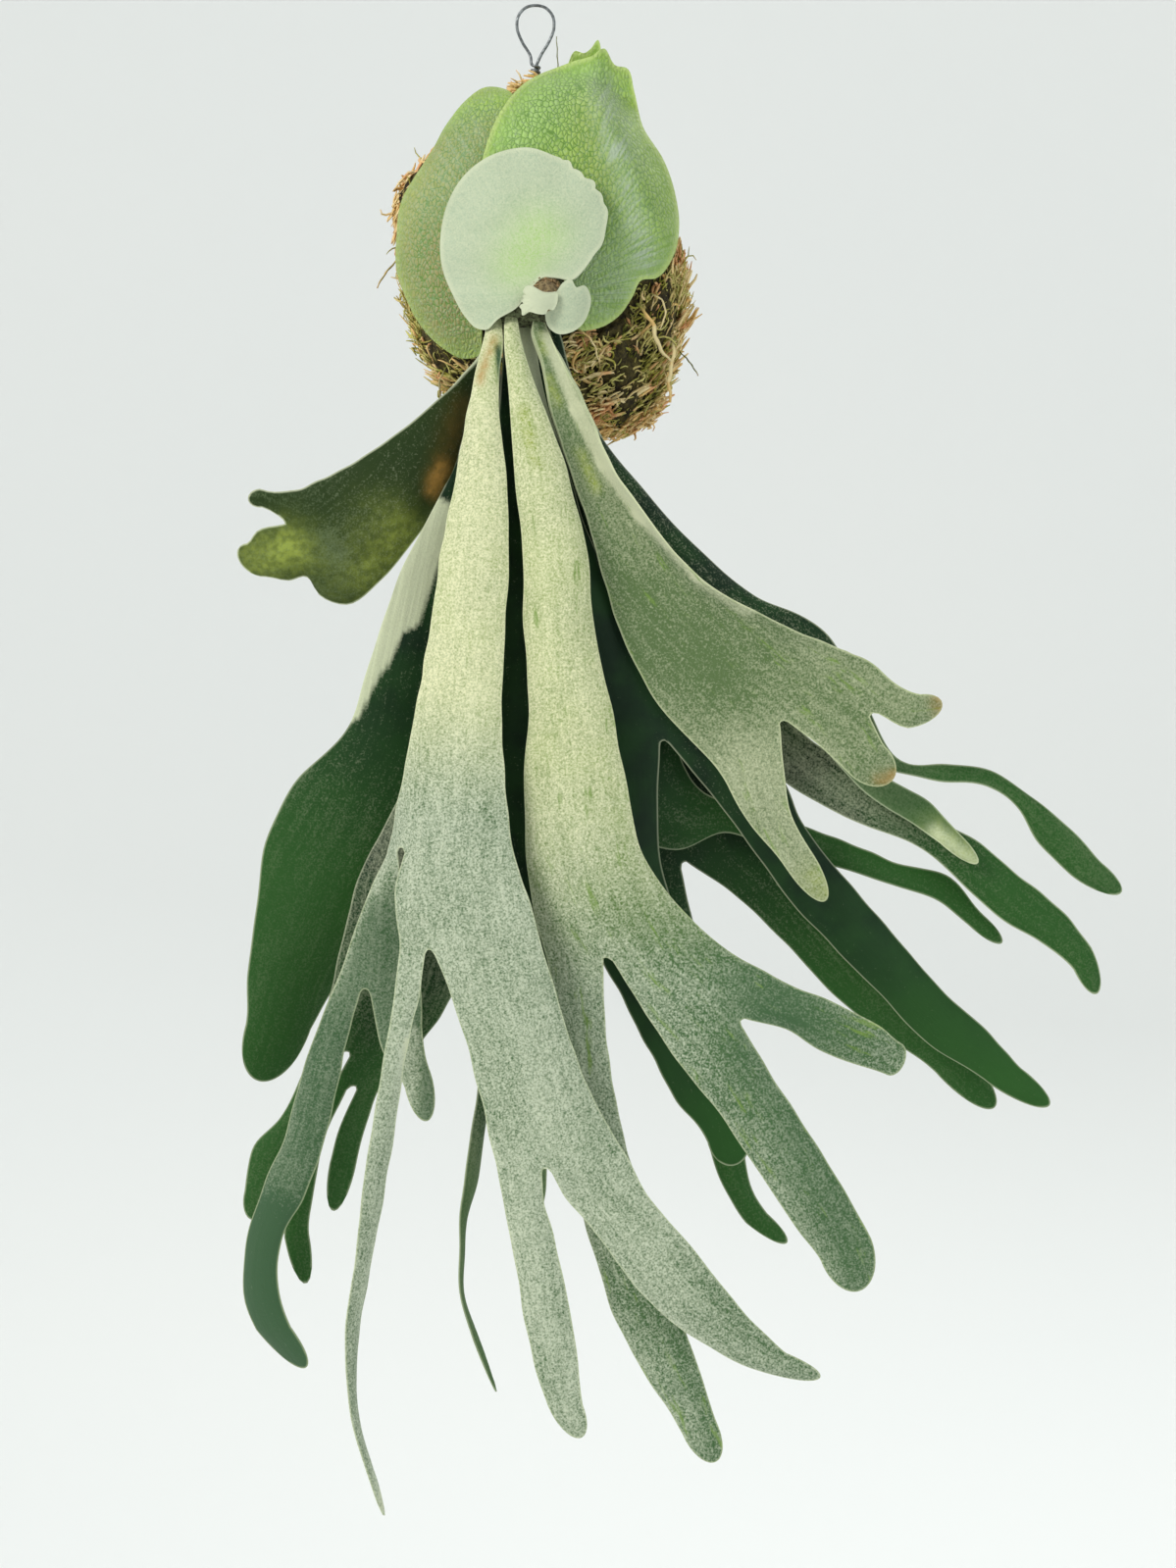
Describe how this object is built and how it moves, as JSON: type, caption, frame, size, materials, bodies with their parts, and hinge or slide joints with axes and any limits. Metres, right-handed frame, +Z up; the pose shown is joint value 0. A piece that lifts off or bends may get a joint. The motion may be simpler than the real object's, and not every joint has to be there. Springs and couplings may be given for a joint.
{
  "type": "staghorn fern",
  "caption": "Staghorn fern with rounded shield fronds and long forked hanging fronds, grown on a moss ball with a wire eye to hang it by.",
  "frame": {"origin": "the inner top of the wire eye, where a hook carries the plant", "axes": "+Z up along the wire and the hanging fronds, -Y the front of the fern, +X to the right as seen from the front"},
  "size_m": [0.4555, 0.1976, 0.7822],
  "materials": {
    "felted_frond": "matt grey-green felt with fine pale speckles",
    "green_frond": "dark green, satin, with a thin pale margin",
    "green_shield": "bright yellow-green with a net of raised veins",
    "old_shield": "olive green, browning towards its foot, with a net of veins",
    "pale_shield": "pale silvery green felt",
    "rhizome": "brown and scaly, matt",
    "moss": "green and tan moss fibres, matt",
    "wire": "dull grey galvanised wire"
  },
  "bodies": {
    "root": {"frond_front_left": "felted_frond", "frond_front_right": "felted_frond", "frond_right": "felted_frond", "frond_upper_left": "green_frond", "frond_left": "green_frond", "frond_left_rear": "green_frond", "frond_centre_thin": "green_frond", "frond_centre_rear": "green_frond", "frond_right_rear": "green_frond", "frond_right_middle": "green_frond", "frond_right_lower": "green_frond", "frond_rear_fan": "green_frond", "shield_top": "green_shield", "shield_left": "old_shield", "shield_right": "green_shield", "shield_front": "pale_shield", "shield_young": "pale_shield", "frond_bud": "pale_shield", "rhizome": "rhizome", "moss_ball": "moss", "wire_hanger": "wire"}
  },
  "joints": []
}
